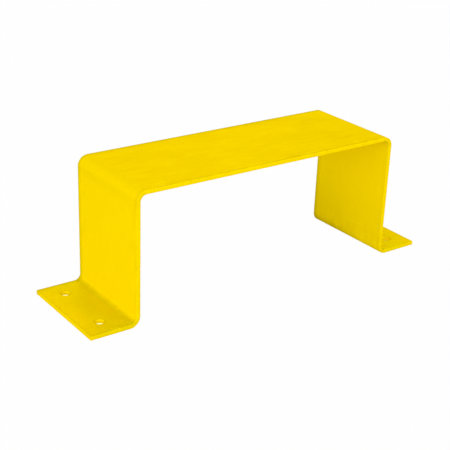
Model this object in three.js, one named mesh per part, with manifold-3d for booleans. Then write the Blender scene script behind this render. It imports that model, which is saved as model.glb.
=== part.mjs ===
// Ladder stabilizer: one strap of steel plate, bent four times into a hat-shaped bridge
// that stands on two outward feet, with two screw holes through each foot.
//
// Millimetres. +X runs along the strap from foot to foot, +Y runs across the strap and
// +Z is up. The origin is the middle of the footprint, on the surface that the feet stand on.

import * as THREE from "three";
import { mergeVertices } from "three/addons/utils/BufferGeometryUtils.js";
import Module from "manifold-3d";

const INCH = 25.4;

// Driving dimensions
const BRIDGE_WIDTH = 12 * INCH; // over the outer faces of the two legs
const OVERALL_HEIGHT = 5.25 * INCH; // from the underside of the feet to the top face
const STRAP_WIDTH = 4.25 * INCH; // from the front cut edge to the back one
const FOOT_LENGTH = 1.875 * INCH; // from a leg's outer face to the end of its foot
const THICKNESS = 4.18; // 8 gauge plate
const BEND_RADIUS = 0.25 * INCH; // inside radius of all four bends
const CORNER_RADIUS = 0.8; // at the four corners of the feet, seen from above
const HOLE_DIAMETER = 0.375 * INCH;

// How finely the round stretches are divided
const BEND_SEGMENTS = 16; // per quarter turn of a bend
const CORNER_SEGMENTS = 4; // per rounded corner
const HOLE_SEGMENTS = 48; // per full circle

// Room beyond the plate on each side for a cutting shape
const CUT_MARGIN = 5;

// Worked out from the driving dimensions
const LEG_OUTER_X = BRIDGE_WIDTH / 2;
const LEG_INNER_X = LEG_OUTER_X - THICKNESS;
const FOOT_END_X = LEG_OUTER_X + FOOT_LENGTH;
const HOLE_INSET = (FOOT_LENGTH - BEND_RADIUS) / 2; // midway along a foot's flat
const HOLE_X = FOOT_END_X - HOLE_INSET;
const HOLE_Y = STRAP_WIDTH / 2 - HOLE_INSET;

const QUARTER = Math.PI / 2;

const wasm = await Module();
wasm.setup();

// The strap's cross-section, seen from the front, as one closed outline. It runs up the right
// half, over the top, down the left half, and back along the inner side.
function strapOutline() {
  const t = THICKNESS;
  const inner = BEND_RADIUS;
  const outer = BEND_RADIUS + t;
  const underTop = OVERALL_HEIGHT - t;
  const topBendX = LEG_OUTER_X - outer;
  const topBendZ = OVERALL_HEIGHT - outer;
  const footBendX = LEG_OUTER_X + inner;
  const footBendZ = outer;

  const outline = new THREE.Shape();
  outline.moveTo(FOOT_END_X, 0);
  outline.lineTo(FOOT_END_X, t);
  outline.lineTo(footBendX, t);
  outline.absarc(footBendX, footBendZ, inner, -QUARTER, -2 * QUARTER, true);
  outline.lineTo(LEG_OUTER_X, topBendZ);
  outline.absarc(topBendX, topBendZ, outer, 0, QUARTER, false);
  outline.lineTo(-topBendX, OVERALL_HEIGHT);
  outline.absarc(-topBendX, topBendZ, outer, QUARTER, 2 * QUARTER, false);
  outline.lineTo(-LEG_OUTER_X, footBendZ);
  outline.absarc(-footBendX, footBendZ, inner, 0, -QUARTER, true);
  outline.lineTo(-FOOT_END_X, t);
  outline.lineTo(-FOOT_END_X, 0);
  outline.lineTo(-footBendX, 0);
  outline.absarc(-footBendX, footBendZ, outer, -QUARTER, 0, false);
  outline.lineTo(-LEG_INNER_X, topBendZ);
  outline.absarc(-topBendX, topBendZ, inner, 2 * QUARTER, QUARTER, true);
  outline.lineTo(topBendX, underTop);
  outline.absarc(topBendX, topBendZ, inner, QUARTER, 0, true);
  outline.lineTo(LEG_INNER_X, footBendZ);
  outline.absarc(footBendX, footBendZ, outer, 2 * QUARTER, 3 * QUARTER, false);
  outline.closePath();
  return outline;
}

// The bent strap with square corners and no holes.
function bentStrap() {
  const geometry = new THREE.ExtrudeGeometry(strapOutline(), {
    depth: STRAP_WIDTH,
    bevelEnabled: false,
    curveSegments: BEND_SEGMENTS,
  });
  geometry.rotateX(QUARTER);
  geometry.translate(0, STRAP_WIDTH / 2, 0);
  return geometry;
}

// The whole footprint with rounded corners, as an upright block taller than the strap.
function footprintBlock() {
  const x = FOOT_END_X;
  const y = STRAP_WIDTH / 2;
  const r = CORNER_RADIUS;
  const outline = new THREE.Shape();
  outline.moveTo(-x + r, -y);
  outline.lineTo(x - r, -y);
  outline.absarc(x - r, -y + r, r, -QUARTER, 0, false);
  outline.lineTo(x, y - r);
  outline.absarc(x - r, y - r, r, 0, QUARTER, false);
  outline.lineTo(-x + r, y);
  outline.absarc(-x + r, y - r, r, QUARTER, 2 * QUARTER, false);
  outline.lineTo(-x, -y + r);
  outline.absarc(-x + r, -y + r, r, 2 * QUARTER, 3 * QUARTER, false);
  outline.closePath();
  const geometry = new THREE.ExtrudeGeometry(outline, {
    depth: OVERALL_HEIGHT + 2 * CUT_MARGIN,
    bevelEnabled: false,
    curveSegments: CORNER_SEGMENTS,
  });
  geometry.translate(0, 0, -CUT_MARGIN);
  return geometry;
}

// An upright plug that is cut away to leave one screw hole in a foot.
function holePlug(x, y) {
  const radius = HOLE_DIAMETER / 2;
  const height = THICKNESS + 2 * CUT_MARGIN;
  const geometry = new THREE.CylinderGeometry(radius, radius, height, HOLE_SEGMENTS);
  geometry.rotateX(QUARTER);
  geometry.translate(x, y, THICKNESS / 2);
  return geometry;
}

// A closed three.js geometry as a solid that can be cut.
function toSolid(geometry) {
  const bare = geometry.clone();
  bare.deleteAttribute("normal");
  bare.deleteAttribute("uv");
  const merged = mergeVertices(bare);
  return new wasm.Manifold(
    new wasm.Mesh({
      numProp: 3,
      vertProperties: new Float32Array(merged.attributes.position.array),
      triVerts: new Uint32Array(merged.index.array),
    }),
  );
}

// A solid back as a three.js geometry.
function toGeometry(solid) {
  const mesh = solid.getMesh();
  const geometry = new THREE.BufferGeometry();
  geometry.setAttribute("position", new THREE.BufferAttribute(mesh.vertProperties, 3));
  geometry.setIndex(new THREE.BufferAttribute(mesh.triVerts, 1));
  geometry.computeVertexNormals();
  return geometry;
}

function bracketGeometry() {
  let solid = toSolid(bentStrap()).intersect(toSolid(footprintBlock()));
  for (const x of [-HOLE_X, HOLE_X]) {
    for (const y of [-HOLE_Y, HOLE_Y]) {
      solid = solid.subtract(toSolid(holePlug(x, y)));
    }
  }
  return toGeometry(solid);
}

const yellowPowderCoat = new THREE.MeshStandardMaterial({
  color: new THREE.Color(0xf7d600),
  roughness: 0.45,
  metalness: 0,
  flatShading: true,
});

const bracket = new THREE.Mesh(bracketGeometry(), yellowPowderCoat);
bracket.name = "bracket";

const group = new THREE.Group();
group.add(bracket);

export default group;
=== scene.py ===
"""Ladder stabilizer: the looks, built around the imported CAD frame.

The bracket is made the way the real one is. A flat blank with rounded cut edges, rounded
corners and four screw holes is meshed first, and then bent along the strap's path. Lengths
are in metres. In the flat blank, s runs along the strap from the left foot's end, y runs
across it from the front, and n is the height over the plate's middle surface.
"""

import math
from types import SimpleNamespace

import bmesh
import bpy
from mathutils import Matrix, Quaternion, Vector


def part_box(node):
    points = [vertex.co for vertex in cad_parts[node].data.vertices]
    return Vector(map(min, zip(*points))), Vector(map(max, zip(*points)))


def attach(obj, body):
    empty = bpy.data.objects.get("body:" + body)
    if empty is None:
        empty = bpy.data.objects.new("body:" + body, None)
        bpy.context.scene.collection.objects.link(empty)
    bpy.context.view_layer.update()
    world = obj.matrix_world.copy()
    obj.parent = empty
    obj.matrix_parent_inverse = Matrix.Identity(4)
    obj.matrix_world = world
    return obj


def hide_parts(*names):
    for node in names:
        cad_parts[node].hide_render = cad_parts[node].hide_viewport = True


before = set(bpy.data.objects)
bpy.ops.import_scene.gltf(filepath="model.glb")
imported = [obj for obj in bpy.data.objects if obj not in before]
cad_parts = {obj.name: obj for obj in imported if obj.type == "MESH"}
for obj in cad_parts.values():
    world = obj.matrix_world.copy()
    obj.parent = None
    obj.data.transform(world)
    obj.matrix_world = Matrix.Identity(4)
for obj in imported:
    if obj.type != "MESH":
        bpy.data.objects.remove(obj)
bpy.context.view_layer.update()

INCH = 0.0254
MM = 0.001
QUARTER = math.pi / 2
WHITE = (1, 1, 1, 1)

# ---------------------------------------------------------------- sizes
# The outer sizes are the frame's. The others are the CAD model's driving dimensions.
node_lo, node_hi = (Vector(corner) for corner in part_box("bracket"))
OVERALL_LENGTH = node_hi.x - node_lo.x
STRAP_WIDTH = node_hi.y - node_lo.y
OVERALL_HEIGHT = node_hi.z - node_lo.z
BRIDGE_WIDTH = 12 * INCH
FOOT_LENGTH = (OVERALL_LENGTH - BRIDGE_WIDTH) / 2
THICKNESS = 4.18 * MM
BEND_RADIUS = 0.25 * INCH
CORNER_RADIUS = 0.8 * MM
HOLE_RADIUS = 0.1875 * INCH
HOLE_INSET = (FOOT_LENGTH - BEND_RADIUS) / 2
HALF_THICK = THICKNESS / 2

# What the coating and the cutting leave on the edges
EDGE_ROUND = 0.45 * MM
HOLE_EDGE_ROUND = 0.2 * MM

# How finely the blank is meshed
ROUND_STEPS = 5
CORNER_STEPS = 8
BEND_STEPS = 28
HOLE_PATCH_HALF = 12 * MM
HOLE_PATCH_STEPS = 16
HOLE_PATCH_RINGS = 7
FLAT_STEP = 2.5 * MM
MERGE_DISTANCE = 0.001 * MM

# The coat, and the size of its noises along the strap, across it and through it
COAT_COLOUR = (0.87, 0.625, 0.0, 1)
# A less orange yellow: in the coat's mottle, along the edges and low on the legs, and as painted
# shade colour on the feet near the bends and on the inner faces
LESS_ORANGE_AND_SHADE_COLOUR = (0.77, 0.61, 0.0, 1)
COAT_TINT = (1.0, 0.74, 0.0, 1)
COAT_METALLIC = 0.12
COAT_ROUGHNESS = 0.42
BROAD_SIZE = (55 * MM, 30 * MM, 30 * MM)
CLOUD_SIZE = (16 * MM, 9 * MM, 30 * MM)
STREAK_SIZE = (30 * MM, 3.5 * MM, 30 * MM)
PEEL_SIZE = (1.4 * MM, 1.4 * MM, 1.4 * MM)

# Bands on the coat: where the middle is, and how far the band reaches to each side of it.
# These are measured from a bend's middle, along the strap towards the bridge's middle.
# Painted shade in the inside corners of the feet and the top
FOOT_CORNER_SHADE = (-1.3 * MM, 7 * MM)
TOP_CORNER_SHADE = (0, 12 * MM)
# Painted shade outside the top bends
OUTER_BEND_SHADE = (-6 * MM, 12 * MM)
# Painted shade low on the inner faces
LOW_SHADE = (0, 80 * MM)
# Painted shade under the feet's bends
UNDER_BEND_SHADE = (1 * MM, 9 * MM)
LOW_SCUFFS = (0, 28 * MM)
# This one is measured from a bend's middle, both ways.
DIE_LINE = (20 * MM, 0.9 * MM)
# These are measured from the nearest side, the nearest edge, the nearest hole's middle and
# the front.
SIDE_SCUFFS = (0, 15 * MM)
SOFT_EDGE = (0, 8 * MM)
EDGE_LINE = (0.9 * MM, 1 * MM)
HOLE_RIM = (HOLE_RADIUS + 0.4 * MM, 0.9 * MM)
BACK_EDGE = (STRAP_WIDTH, 7.5 * MM)

# Changes on the coat: where each one starts, and where it ends.
# These are measured from a bend's middle, along the strap towards the bridge's middle.
FOOT_TO_LEG = (0, 12 * MM)
LEG_TO_TOP = (0, 15 * MM)
FOOT_INTO_BEND = (-5 * MM, 2 * MM)
BEND_INTO_LEG = (-2 * MM, 5 * MM)
UP_THE_LEG = (2 * MM, 50 * MM)
# This one is measured from a foot's end.
ALONG_THE_FOOT = (-10 * MM, 30 * MM)
# These are measured across the strap from the front.
FRONT_OF_FOOT = (8 * MM, 35 * MM)
UNDER_BEND_ACROSS = (0.25 * STRAP_WIDTH, 0.7 * STRAP_WIDTH)
FRONT_TO_BACK = (0, STRAP_WIDTH)

# How strong the clouds, the streaks and the edge line are on each stretch
FOOT_MARKS = 1.6
LEG_MARKS = 0.5
TOP_MARKS = 2.1

# The painted shade in the top's inside corners as a share of that in the feet's, and the low
# painted shade at the front as a share of that at the back
TOP_CORNER_SHARE = 0.65
LOW_SHADE_AT_FRONT = 0.4

# The noise at which a die line starts to show, and at which it shows fully
PATCHES = (0, 0.16)

# The stage and the lights, with angles in degrees and powers in watts
STAGE_HALF = 6.0
SOFTBOX_SIZE = 1.2
SOFTBOX_DISTANCE = 2.0
SOFTBOXES = [
    # name, azimuth, elevation, power
    ("left_softbox", -70, 6, 13.3),
    ("front_softbox", -40, 6, 16.2),
    ("right_softbox", 40, 20, 8.7),
    ("back_softbox", 150, 20, 4.7),
]
SKY_STRENGTH = 0.833
FLOOR_GREY = 0.04
FLOOR_GLOW = 0.968
TABLE_GLOW = 0.62
HOLE_GLOW = 1.2
HOLE_GLOW_COLOUR = (1.0, 0.95, 0.34, 1)
HOLE_GLOW_GAP = 0.1 * MM
HOLE_GLOW_RAISE = 0.05 * MM
HOLE_GLOW_STEPS = 8

# The camera. It faces the object's middle, and is then turned a little, so that the middle is
# to the right of the picture's centre and above it by these shares of the picture's width.
# The lens and the sensor are in millimetres, which is how Blender takes them.
CAMERA_AZIMUTH = -37.12
CAMERA_ELEVATION = 22.53
CAMERA_ROLL = 2.45
CAMERA_DISTANCE = 1.071
LENS = 85.0
SENSOR_WIDTH = 36.0
MIDDLE_RIGHT = 0.0306
MIDDLE_ABOVE = 0.0376


# ---------------------------------------------------------------- the strap's path
def strap_stretches():
    """The path of the plate's middle surface, as (length, turn in radians) per stretch."""
    foot = FOOT_LENGTH - BEND_RADIUS
    leg = OVERALL_HEIGHT - 2 * (THICKNESS + BEND_RADIUS)
    top = BRIDGE_WIDTH - 2 * (THICKNESS + BEND_RADIUS)
    bend = QUARTER * (BEND_RADIUS + HALF_THICK)
    return [
        (foot, 0),
        (bend, QUARTER),
        (leg, 0),
        (bend, -QUARTER),
        (top, 0),
        (bend, -QUARTER),
        (leg, 0),
        (bend, QUARTER),
        (foot, 0),
    ]


STRETCHES = strap_stretches()
BLANK_LENGTH = sum(length for length, turn in STRETCHES)
FOOT_BEND_MIDDLE = STRETCHES[0][0] + STRETCHES[1][0] / 2
TOP_BEND_MIDDLE = sum(length for length, turn in STRETCHES[:3]) + STRETCHES[3][0] / 2
# Along s: over this part of the bridge, what only the left foot has fades out.
LEFT_TO_RIGHT = (0.4 * BLANK_LENGTH, 0.6 * BLANK_LENGTH)


def bend_point(s, n):
    """Where a point of the flat blank goes in the bent strap: (x, z)."""
    x, z, heading = node_lo.x, node_lo.z + HALF_THICK, 0.0
    for length, turn in STRETCHES:
        step = min(s, length)
        if turn:
            radius = length / turn
            part = step / radius
            x += radius * (math.sin(heading + part) - math.sin(heading))
            z -= radius * (math.cos(heading + part) - math.cos(heading))
            heading += part
        else:
            x += step * math.cos(heading)
            z += step * math.sin(heading)
        s -= step
        if s <= 0:
            break
    return x - n * math.sin(heading), z + n * math.cos(heading)


# ---------------------------------------------------------------- the flat blank
def spread(start, end, step):
    """Evenly spaced values from start up to, but not including, end."""
    count = max(1, round((end - start) / step))
    return [start + (end - start) * i / count for i in range(count)]


def grid_lines():
    """The blank's grid lines along s and across y, closer on the bends and round the holes."""
    patch_start, patch_end = HOLE_INSET - HOLE_PATCH_HALF, HOLE_INSET + HOLE_PATCH_HALF
    patch_step = 2 * HOLE_PATCH_HALF / HOLE_PATCH_STEPS
    edge_to_patch_end = spread(CORNER_RADIUS, patch_start, FLAT_STEP)
    edge_to_patch_end += spread(patch_start, patch_end, patch_step)

    foot = edge_to_patch_end + spread(patch_end, STRETCHES[0][0], FLAT_STEP)
    s_lines = list(foot)
    at = STRETCHES[0][0]
    for length, turn in STRETCHES[1:-1]:
        s_lines += spread(at, at + length, length / BEND_STEPS if turn else FLAT_STEP)
        at += length
    s_lines += [at] + [BLANK_LENGTH - s for s in reversed(foot)]

    y_lines = edge_to_patch_end + spread(patch_end, STRAP_WIDTH - patch_end, FLAT_STEP)
    y_lines += [STRAP_WIDTH - patch_end] + [STRAP_WIDTH - y for y in reversed(edge_to_patch_end)]
    return s_lines, y_lines


def hole_centres():
    """The four screw holes in the flat blank."""
    return [
        (s, y)
        for s in (HOLE_INSET, BLANK_LENGTH - HOLE_INSET)
        for y in (HOLE_INSET, STRAP_WIDTH - HOLE_INSET)
    ]


def edge_section(reach, roundness):
    """The section over a cut edge, from the top face to the bottom one, as (outward, n)."""
    section = []
    for side in (1, -1):
        arc = []
        for i in range(ROUND_STEPS + 1):
            angle = QUARTER * i / ROUND_STEPS
            out = reach - roundness + roundness * math.sin(angle)
            height = HALF_THICK - roundness + roundness * math.cos(angle)
            arc.append((out, side * height))
        section += arc if side > 0 else arc[::-1]
    return section


class Blank:
    """Collects the flat blank's points and faces."""

    def __init__(self):
        self.points = []
        self.faces = []

    def add(self, s, y, n):
        self.points.append((s, y, n))
        return len(self.points) - 1

    def strip(self, ring_a, ring_b):
        """Quads between two closed rings of points with the same count."""
        count = len(ring_a)
        for i in range(count):
            j = (i + 1) % count
            self.faces.append((ring_a[i], ring_a[j], ring_b[j], ring_b[i]))


def in_hole_patch(s, y):
    return any(
        abs(s - hole_s) < HOLE_PATCH_HALF and abs(y - hole_y) < HOLE_PATCH_HALF
        for hole_s, hole_y in hole_centres()
    )


def add_sheets(blank, s_lines, y_lines):
    """The top and bottom faces, left open where the hole patches go."""
    for n in (HALF_THICK, -HALF_THICK):
        index = {
            (i, j): blank.add(s, y, n)
            for i, s in enumerate(s_lines)
            for j, y in enumerate(y_lines)
        }
        for i in range(len(s_lines) - 1):
            for j in range(len(y_lines) - 1):
                mid_s = (s_lines[i] + s_lines[i + 1]) / 2
                mid_y = (y_lines[j] + y_lines[j + 1]) / 2
                if not in_hole_patch(mid_s, mid_y):
                    corners = ((i, j), (i + 1, j), (i + 1, j + 1), (i, j + 1))
                    blank.faces.append(tuple(index[corner] for corner in corners))


def add_rim(blank, s_lines, y_lines):
    """The cut edge all round the blank, with its four rounded corners."""
    lo_s, hi_s = s_lines[0], s_lines[-1]
    lo_y, hi_y = y_lines[0], y_lines[-1]
    sides = [
        ([(s, lo_y) for s in s_lines], -QUARTER),
        ([(hi_s, y) for y in y_lines], 0.0),
        ([(s, hi_y) for s in reversed(s_lines)], QUARTER),
        ([(lo_s, y) for y in reversed(y_lines)], 2 * QUARTER),
    ]
    stations = []
    for points, outward in sides:
        stations += [(point, outward) for point in points]
        for i in range(1, CORNER_STEPS):
            stations.append((points[-1], outward + QUARTER * i / CORNER_STEPS))

    rings = []
    section = [(0.0, HALF_THICK), *edge_section(CORNER_RADIUS, EDGE_ROUND), (0.0, -HALF_THICK)]
    for out, n in section:
        ring = [
            blank.add(s + out * math.cos(angle), y + out * math.sin(angle), n)
            for (s, y), angle in stations
        ]
        rings.append(ring)
    for ring_a, ring_b in zip(rings, rings[1:]):
        blank.strip(ring_a, ring_b)


def add_hole(blank, centre_s, centre_y):
    """One screw hole: its wall, its rounded rims and the patch that joins them to the grid."""
    around = 4 * HOLE_PATCH_STEPS
    square, circle = [], []
    for i in range(around):
        side, along = divmod(i, HOLE_PATCH_STEPS)
        across = 2 * along / HOLE_PATCH_STEPS - 1
        turn = side * QUARTER
        cos, sin = math.cos(turn), math.sin(turn)
        square.append((cos - across * sin, sin + across * cos))
        angle = turn + across * QUARTER / 2
        circle.append((math.cos(angle), math.sin(angle)))

    def ring(blend, radius, n):
        """A closed ring of points: the hole's circle at blend 0, the patch's square at 1."""
        return [
            blank.add(
                centre_s + blend * HOLE_PATCH_HALF * square_s + (1 - blend) * radius * circle_s,
                centre_y + blend * HOLE_PATCH_HALF * square_y + (1 - blend) * radius * circle_y,
                n,
            )
            for (square_s, square_y), (circle_s, circle_y) in zip(square, circle)
        ]

    flat_radius = HOLE_RADIUS + HOLE_EDGE_ROUND
    blends = [1 - i / HOLE_PATCH_RINGS for i in range(HOLE_PATCH_RINGS)]
    rings = [ring(blend, flat_radius, HALF_THICK) for blend in blends]
    for inward, n in edge_section(HOLE_EDGE_ROUND, HOLE_EDGE_ROUND):
        rings.append(ring(0.0, flat_radius - inward, n))
    rings += [ring(blend, flat_radius, -HALF_THICK) for blend in reversed(blends)]
    for ring_a, ring_b in zip(rings, rings[1:]):
        blank.strip(ring_a, ring_b)


def make_bracket():
    """The bent strap as a mesh object, with the flat blank's coordinates kept on its points."""
    s_lines, y_lines = grid_lines()
    blank = Blank()
    add_sheets(blank, s_lines, y_lines)
    add_rim(blank, s_lines, y_lines)
    for centre_s, centre_y in hole_centres():
        add_hole(blank, centre_s, centre_y)

    mesh = bpy.data.meshes.new("bent_bracket")
    mesh.from_pydata(blank.points, [], blank.faces)
    work = bmesh.new()
    work.from_mesh(mesh)
    bmesh.ops.remove_doubles(work, verts=work.verts, dist=MERGE_DISTANCE)
    bmesh.ops.recalc_face_normals(work, faces=work.faces)
    flat = work.verts.layers.float_vector.new("flat_blank")
    for vert in work.verts:
        s, y, n = vert.co
        x, z = bend_point(s, n)
        vert[flat] = vert.co
        vert.co = (x, node_lo.y + y, z)
    for face in work.faces:
        face.smooth = True
    work.to_mesh(mesh)
    work.free()

    bracket = bpy.data.objects.new("bent_bracket", mesh)
    bpy.context.collection.objects.link(bracket)
    return bracket


# ---------------------------------------------------------------- materials
class Shading:
    """A material's node tree, with short ways to add nodes to it."""

    def __init__(self, name):
        self.material = bpy.data.materials.new(name)
        self.material.use_nodes = True
        self.tree = self.material.node_tree
        self.tree.nodes.clear()

    def node(self, kind, **inputs):
        """Adds a node. An input is named with underscores, and takes a value or a socket."""
        node = self.tree.nodes.new(kind)
        for name, value in inputs.items():
            self.feed(node.inputs[name.replace("_", " ")], value)
        return node

    def feed(self, socket, value):
        if isinstance(value, bpy.types.NodeSocket):
            self.tree.links.new(value, socket)
        else:
            socket.default_value = value

    def math(self, operation, *values):
        node = self.tree.nodes.new("ShaderNodeMath")
        node.operation = operation
        for socket, value in zip(node.inputs, values):
            self.feed(socket, value)
        return node.outputs[0]

    def times(self, first, second):
        return self.math("MULTIPLY", first, second)

    def vector_math(self, operation, *vectors):
        """A vector math node, whose result is in outputs Vector or Value."""
        node = self.tree.nodes.new("ShaderNodeVectorMath")
        node.operation = operation
        for socket, vector in zip(node.inputs, vectors):
            self.feed(socket, vector)
        return node

    def mix_colours(self, factor, first, second):
        """The first colour where factor is 0, and the second one where it is 1."""
        node = self.tree.nodes.new("ShaderNodeMix")
        node.data_type = "RGBA"
        by_identifier = {socket.identifier: socket for socket in node.inputs}
        self.feed(by_identifier["Factor_Float"], factor)
        self.feed(by_identifier["A_Color"], first)
        self.feed(by_identifier["B_Color"], second)
        return next(socket for socket in node.outputs if socket.identifier == "Result_Color")

    def ramp(self, value, start, end, at_start, at_end):
        """Eases from at_start to at_end as value goes from start to end."""
        node = self.node(
            "ShaderNodeMapRange",
            Value=value,
            From_Min=start,
            From_Max=end,
            To_Min=at_start,
            To_Max=at_end,
        )
        node.interpolation_type = "SMOOTHSTEP"
        return node.outputs["Result"]

    def band(self, value, middle, half_width):
        """1 where value is at the middle, easing to 0 at half_width from it."""
        off = self.math("ABSOLUTE", self.math("SUBTRACT", value, middle))
        return self.ramp(off, 0.0, half_width, 1.0, 0.0)

    def noise(self, vector, feature, detail=2.0):
        """Noise about 0, mostly within 0.25 of it. feature is its size in metres, per axis."""
        scaled = self.vector_math("DIVIDE", vector, feature).outputs["Vector"]
        noise = self.node("ShaderNodeTexNoise", Vector=scaled, Scale=1.0, Detail=detail)
        return self.math("SUBTRACT", noise.outputs["Fac"], 0.5)

    def total(self, *terms):
        """The sum of the terms. A pair is a socket and what it is multiplied by."""
        result = 0.0
        for term in terms:
            if isinstance(term, tuple):
                term = self.times(*term)
            result = self.math("ADD", result, term)
        return result


def places_on_blank(coat):
    """Sockets that say where a point is on the blank.

    s and y run over the whole blank. The distances are folded, so they are the same left and
    right, and front and back.
    """
    at = SimpleNamespace()
    attribute = coat.node("ShaderNodeAttribute")
    attribute.attribute_name = "flat_blank"
    at.flat = attribute.outputs["Vector"]
    at.s, at.y, n = coat.node("ShaderNodeSeparateXYZ", Vector=at.flat).outputs
    at.from_end = coat.math("MINIMUM", at.s, coat.math("SUBTRACT", BLANK_LENGTH, at.s))
    at.from_side = coat.math("MINIMUM", at.y, coat.math("SUBTRACT", STRAP_WIDTH, at.y))
    at.from_edge = coat.math("MINIMUM", at.from_end, at.from_side)
    at.past_foot_bend = coat.math("SUBTRACT", at.from_end, FOOT_BEND_MIDDLE)
    at.past_top_bend = coat.math("SUBTRACT", at.from_end, TOP_BEND_MIDDLE)

    offset = coat.node(
        "ShaderNodeCombineXYZ",
        X=coat.math("SUBTRACT", at.from_end, HOLE_INSET),
        Y=coat.math("SUBTRACT", at.from_side, HOLE_INSET),
    )
    distance = coat.vector_math("LENGTH", offset.outputs["Vector"])
    at.from_hole = distance.outputs["Value"]

    # the outside is the top of the feet and the bridge and the outward side of the legs
    at.outside = coat.ramp(n, -HALF_THICK, HALF_THICK, 0.0, 1.0)
    at.inside = coat.math("SUBTRACT", 1.0, at.outside)
    # 1 on both broad faces, or on the outer one, and 0 on the cut edges and the hole walls
    at.on_face = coat.ramp(
        coat.math("ABSOLUTE", n), HALF_THICK - EDGE_ROUND, HALF_THICK, 0.0, 1.0
    )
    at.on_outer_face = coat.ramp(n, HALF_THICK - EDGE_ROUND, HALF_THICK, 0.0, 1.0)
    return at


def bend_marks(coat, at, broad):
    """The marks beside the bends, each from 0 to 1: painted shade in, outside and under the bends
    and low on the inner faces, and the die lines.
    """
    marks = SimpleNamespace()
    # Painted shade in the inside corners
    foot_corner = coat.band(at.past_foot_bend, *FOOT_CORNER_SHADE)
    top_corner = coat.times(TOP_CORNER_SHARE, coat.band(at.past_top_bend, *TOP_CORNER_SHADE))
    marks.inside_corner = coat.total((at.outside, foot_corner), (at.inside, top_corner))
    # Painted shade outside the top bends
    marks.outside_corner = coat.times(at.outside, coat.band(at.past_top_bend, *OUTER_BEND_SHADE))

    # Painted shade under the feet's bends, darker towards the back
    marks.under_bend = coat.times(
        coat.times(at.inside, coat.band(at.past_foot_bend, *UNDER_BEND_SHADE)),
        coat.ramp(at.y, *UNDER_BEND_ACROSS, 0.0, 1.0),
    )
    # Painted shade low on the inner faces, less at the front
    marks.low_dust = coat.times(
        coat.times(at.inside, coat.band(at.past_foot_bend, *LOW_SHADE)),
        coat.ramp(at.y, *FRONT_TO_BACK, LOW_SHADE_AT_FRONT, 1.0),
    )

    patchy = coat.ramp(broad, *PATCHES, 0.0, 1.0)
    beside_foot_bend = coat.math("ABSOLUTE", at.past_foot_bend)
    beside_top_bend = coat.math("ABSOLUTE", at.past_top_bend)
    foot_die = coat.times(at.inside, coat.band(beside_foot_bend, *DIE_LINE))
    top_die = coat.times(at.outside, coat.band(beside_top_bend, *DIE_LINE))
    marks.foot_die = coat.times(patchy, foot_die)
    marks.top_die = coat.times(patchy, top_die)
    return marks


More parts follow.
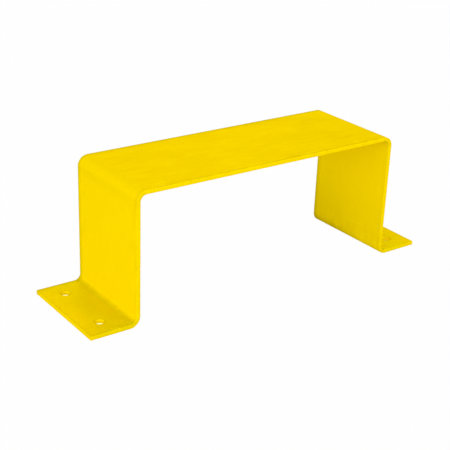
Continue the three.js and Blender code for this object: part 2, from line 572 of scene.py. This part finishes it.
def powder_coat():
    """Safety yellow powder coat over bent plate, painted from the flat blank's coordinates.

    It has clouds and streaks along the strap, most on the feet and the top, and a fine orange
    peel. There are more of them low on the inner faces and along the sides of the outer ones.
    It has painted shade in the inside corners, outside the top bends, low on the inner faces
    and under the feet's bends, and a painted shadow at the front of the left foot. It is a
    darker, less orange yellow along the edges, at the back edge most, and a lighter, less
    orange one low on the legs. On the feet near the bends and on the inner faces it is a less
    orange yellow too, which is painted shade colour. There is a dark ring round each hole. The
    bending die's shoulders left faint lines: paler ones inside, beside the bends at the feet,
    and darker ones outside, beside the bends at the top.
    """
    coat = Shading("yellow_powder_coat")
    at = places_on_blank(coat)

    broad = coat.noise(at.flat, BROAD_SIZE)
    cloudy = coat.noise(at.flat, CLOUD_SIZE, detail=3.0)
    streaks = coat.noise(at.flat, STREAK_SIZE)
    peel = coat.noise(at.flat, PEEL_SIZE, detail=1.0)

    bends = bend_marks(coat, at, broad)
    marked = coat.total(
        coat.ramp(at.past_foot_bend, *FOOT_TO_LEG, FOOT_MARKS, LEG_MARKS),
        coat.ramp(at.past_top_bend, *LEG_TO_TOP, 0.0, TOP_MARKS - LEG_MARKS),
    )
    scuffs = coat.total(
        (at.inside, coat.band(at.past_foot_bend, *LOW_SCUFFS)),
        (at.outside, coat.band(at.from_side, *SIDE_SCUFFS)),
    )
    hole_rim = coat.times(at.on_face, coat.band(at.from_hole, *HOLE_RIM))
    edge_line = coat.times(at.on_outer_face, coat.band(at.from_edge, *EDGE_LINE))
    edge_darkening = coat.times(edge_line, marked)
    back_edge = coat.band(at.y, *BACK_EDGE)
    soft_edge = coat.band(at.from_edge, *SOFT_EDGE)

    on_foot = coat.ramp(at.past_foot_bend, *FOOT_INTO_BEND, 1.0, 0.0)
    on_left = coat.ramp(at.s, *LEFT_TO_RIGHT, 1.0, 0.0)
    # Painted shadow at the front of the left foot
    foot_front = coat.times(
        coat.times(on_foot, on_left), coat.ramp(at.y, *FRONT_OF_FOOT, 1.0, 0.0)
    )
    # Painted shade colour on the feet near the bends
    shade_hue_on_foot = coat.times(on_foot, coat.ramp(at.from_end, *ALONG_THE_FOOT, 0.0, 1.0))
    near_foot = coat.times(at.outside, coat.ramp(at.past_foot_bend, *UP_THE_LEG, 1.0, 0.0))
    low_on_leg = coat.times(near_foot, coat.ramp(at.past_foot_bend, *BEND_INTO_LEG, 0.0, 1.0))

    # A number beside a mark is how much lighter the coat is where the mark is strongest.
    tone = coat.total(
        1.03,
        (at.on_face, -0.03),
        (coat.total((broad, 0.07), (cloudy, 0.09), (streaks, 0.05)), marked),
        (peel, 0.05),
        # Painted shade in the inside corners, outside the top bends, low on the inner faces and
        # under the feet's bends
        (bends.inside_corner, -0.16),
        (bends.outside_corner, -0.04),
        (bends.low_dust, -0.20),
        (bends.under_bend, -0.16),
        (bends.foot_die, 0.06),
        (bends.top_die, -0.05),
        (coat.times(scuffs, cloudy), 0.25),
        (coat.times(scuffs, streaks), 0.10),
        (hole_rim, -0.22),
        (edge_darkening, -0.05),
        (back_edge, -0.12),
        (soft_edge, -0.02),
        (low_on_leg, 0.025),
        # Painted shadow at the front of the left foot
        (foot_front, -0.035),
    )
    # Here a number is how far the colour goes to the less orange yellow. On the feet near the
    # bends and on the inner faces that is painted shade colour.
    less_orange_and_shade = coat.total(
        # Painted shade colour on the feet near the bends and on the inner faces
        (at.outside, shade_hue_on_foot),
        (at.inside, 0.15),
        (edge_darkening, 0.3),
        (coat.math("POWER", back_edge, 2.0), 0.8),
        (coat.times(marked, cloudy), 0.5),
        (low_on_leg, 0.35),
    )
    hue = coat.mix_colours(less_orange_and_shade, COAT_COLOUR, LESS_ORANGE_AND_SHADE_COLOUR)
    colour = coat.vector_math("SCALE", hue)
    coat.feed(colour.inputs["Scale"], tone)

    height = coat.total((peel, 0.03 * MM), (cloudy, 0.02 * MM), (bends.foot_die, 0.06 * MM))
    bump = coat.node("ShaderNodeBump", Height=height, Distance=1.0, Strength=0.6)
    roughness = coat.total(
        COAT_ROUGHNESS,
        (cloudy, 0.25),
        (peel, 0.15),
        (bends.inside_corner, 0.15),
    )
    body = coat.node(
        "ShaderNodeBsdfPrincipled",
        Base_Color=colour.outputs["Vector"],
        Roughness=roughness,
        Normal=bump.outputs["Normal"],
        Metallic=COAT_METALLIC,
        Specular_IOR_Level=0.0,
        Specular_Tint=COAT_TINT,
    )
    coat.node("ShaderNodeOutputMaterial", Surface=body.outputs["BSDF"])
    return coat.material


def plain_surface(name, grey, glow, glow_colour=WHITE):
    """An even matt surface, from black at grey 0 to white at 1, with a light of its own."""
    surface = Shading(name)
    body = surface.node(
        "ShaderNodeBsdfPrincipled",
        Base_Color=(grey, grey, grey, 1),
        Roughness=0.9,
        Specular_IOR_Level=0.0,
        Emission_Color=glow_colour,
        Emission_Strength=glow,
    )
    surface.node("ShaderNodeOutputMaterial", Surface=body.outputs["BSDF"])
    return surface.material


# ---------------------------------------------------------------- stage, lights and camera
def add_stage(name, outline, material):
    """A flat level polygon that isn't part of the object."""
    mesh = bpy.data.meshes.new(name)
    mesh.from_pydata(outline, [], [tuple(range(len(outline)))])
    mesh.materials.append(material)
    stage = bpy.data.objects.new(name, mesh)
    bpy.context.collection.objects.link(stage)
    return stage


def make_floor():
    """The pale floor that the camera sees, and the lit table top that throws light up."""
    corners = [(-1, -1), (1, -1), (1, 1), (-1, 1)]
    square = [(STAGE_HALF * x, STAGE_HALF * y, node_lo.z) for x, y in corners]
    floor = add_stage("floor", square, plain_surface("pale_floor", FLOOR_GREY, FLOOR_GLOW))
    floor.visible_diffuse = False
    floor.visible_glossy = False
    floor.visible_shadow = False
    table_top = add_stage("table_top", square, plain_surface("lit_table", 0.0, TABLE_GLOW))
    table_top.visible_camera = False

    # Under each hole the table is brighter, and is tinted by the yellow walls round it.
    material = plain_surface("lit_table_in_hole", 0.0, HOLE_GLOW, HOLE_GLOW_COLOUR)
    radius = HOLE_RADIUS - HOLE_GLOW_GAP
    for number, (s, y) in enumerate(hole_centres(), 1):
        x, z = bend_point(s, -HALF_THICK)
        circle = [
            (
                x + radius * math.cos(angle),
                node_lo.y + y + radius * math.sin(angle),
                z + HOLE_GLOW_RAISE,
            )
            for angle in spread(0.0, 4 * QUARTER, QUARTER / HOLE_GLOW_STEPS)
        ]
        add_stage(f"table_in_hole_{number}", circle, material)


def direction(azimuth, elevation):
    """A unit vector from the object: azimuth 0 is towards -Y, 90 towards +X."""
    turn, rise = math.radians(azimuth), math.radians(elevation)
    level = math.cos(rise)
    return Vector((math.sin(turn) * level, -math.cos(turn) * level, math.sin(rise)))


def add_softbox(name, azimuth, elevation, power):
    data = bpy.data.lights.new(name, "AREA")
    data.shape = "DISK"
    data.size = SOFTBOX_SIZE
    data.energy = power
    light = bpy.data.objects.new(name, data)
    back = direction(azimuth, elevation)
    light.location = (node_lo + node_hi) / 2 + back * SOFTBOX_DISTANCE
    light.rotation_mode = "QUATERNION"
    light.rotation_quaternion = (-back).to_track_quat("-Z", "Y")
    bpy.context.collection.objects.link(light)


def make_lights():
    """Even soft light from all round, with softboxes low at the front, the sides and the back."""
    world = bpy.data.worlds.new("studio")
    world.use_nodes = True
    background = world.node_tree.nodes["Background"]
    background.inputs["Color"].default_value = WHITE
    background.inputs["Strength"].default_value = SKY_STRENGTH
    bpy.context.scene.world = world
    for softbox in SOFTBOXES:
        add_softbox(*softbox)


def make_camera():
    data = bpy.data.cameras.new("camera")
    data.sensor_width = SENSOR_WIDTH
    data.lens = LENS
    camera = bpy.data.objects.new("camera", data)
    bpy.context.collection.objects.link(camera)

    back = direction(CAMERA_AZIMUTH, CAMERA_ELEVATION)
    straight = (-back).to_track_quat("-Z", "Y")
    roll = Quaternion((0, 0, 1), math.radians(CAMERA_ROLL))
    ray = Vector((MIDDLE_RIGHT * SENSOR_WIDTH, MIDDLE_ABOVE * SENSOR_WIDTH, -LENS))
    off_centre = ray.rotation_difference(Vector((0, 0, -1)))
    camera.rotation_mode = "QUATERNION"
    camera.rotation_quaternion = straight @ roll @ off_centre
    camera.location = (node_lo + node_hi) / 2 + back * CAMERA_DISTANCE
    bpy.context.scene.camera = camera


bracket = make_bracket()
bracket.data.materials.append(powder_coat())
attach(bracket, "root")
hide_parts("bracket")

make_floor()
make_lights()
make_camera()
bpy.context.scene.view_settings.view_transform = "Standard"
